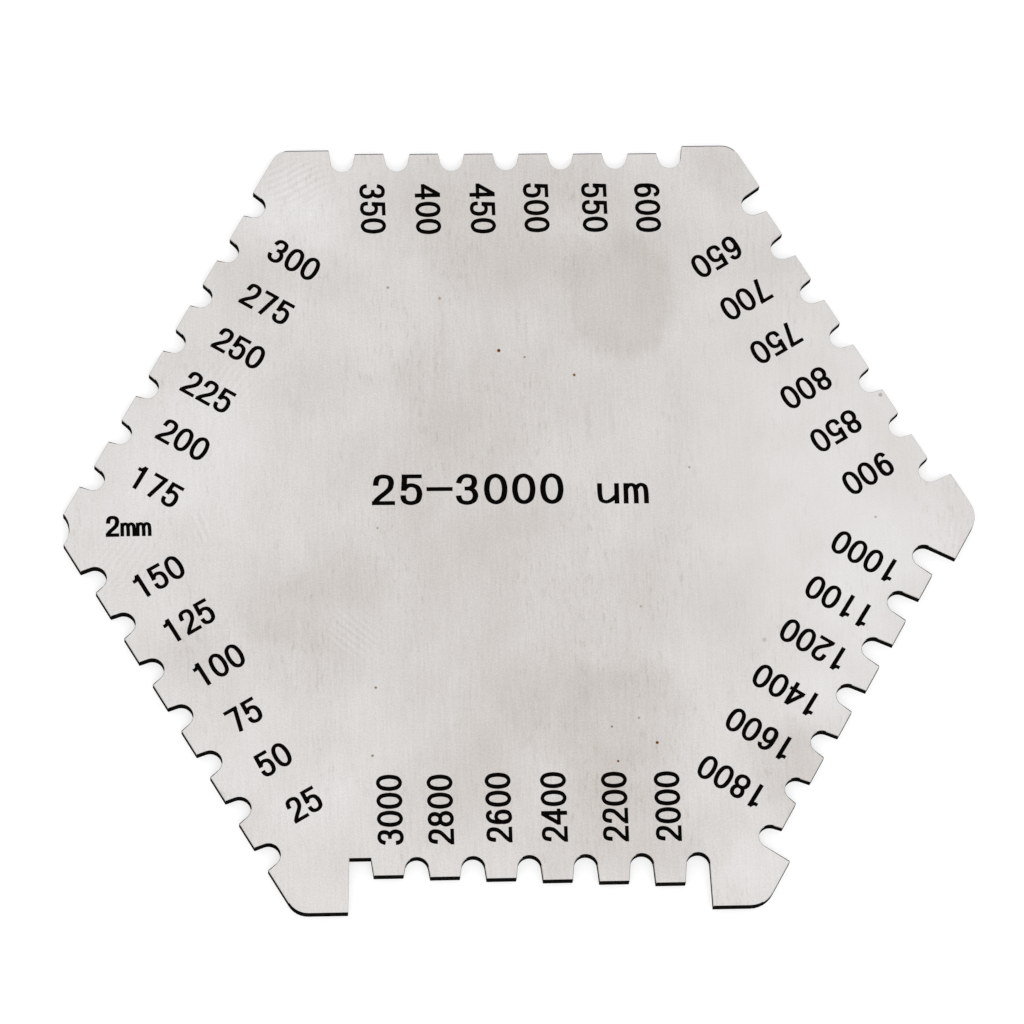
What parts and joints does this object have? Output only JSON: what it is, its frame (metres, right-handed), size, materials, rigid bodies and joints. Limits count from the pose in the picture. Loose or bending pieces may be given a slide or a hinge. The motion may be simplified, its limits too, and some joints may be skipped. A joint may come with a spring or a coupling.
{
  "type": "wet film comb",
  "caption": "Flat hexagonal sheet-steel gauge with stepped measuring teeth along every side, rounded corners and one hollowed corner.",
  "frame": {"origin": "centre of the hexagon on the plate's back face", "axes": "+Z out of the marked front face, through the sheet's thickness; +Y to the side whose teeth start at 350 micrometres; +X to the plain rounded corner, opposite the hollowed corner"},
  "size_m": [0.074, 0.065, 0.001],
  "materials": {
    "plate": "pale brushed stainless steel sheet with a fine straight grain and dark cut edges",
    "marks": "matt black enamel in the numbers that are cut into the front face, which only the visual model has"
  },
  "bodies": {
    "root": {"comb_plate": "plate"}
  },
  "joints": []
}
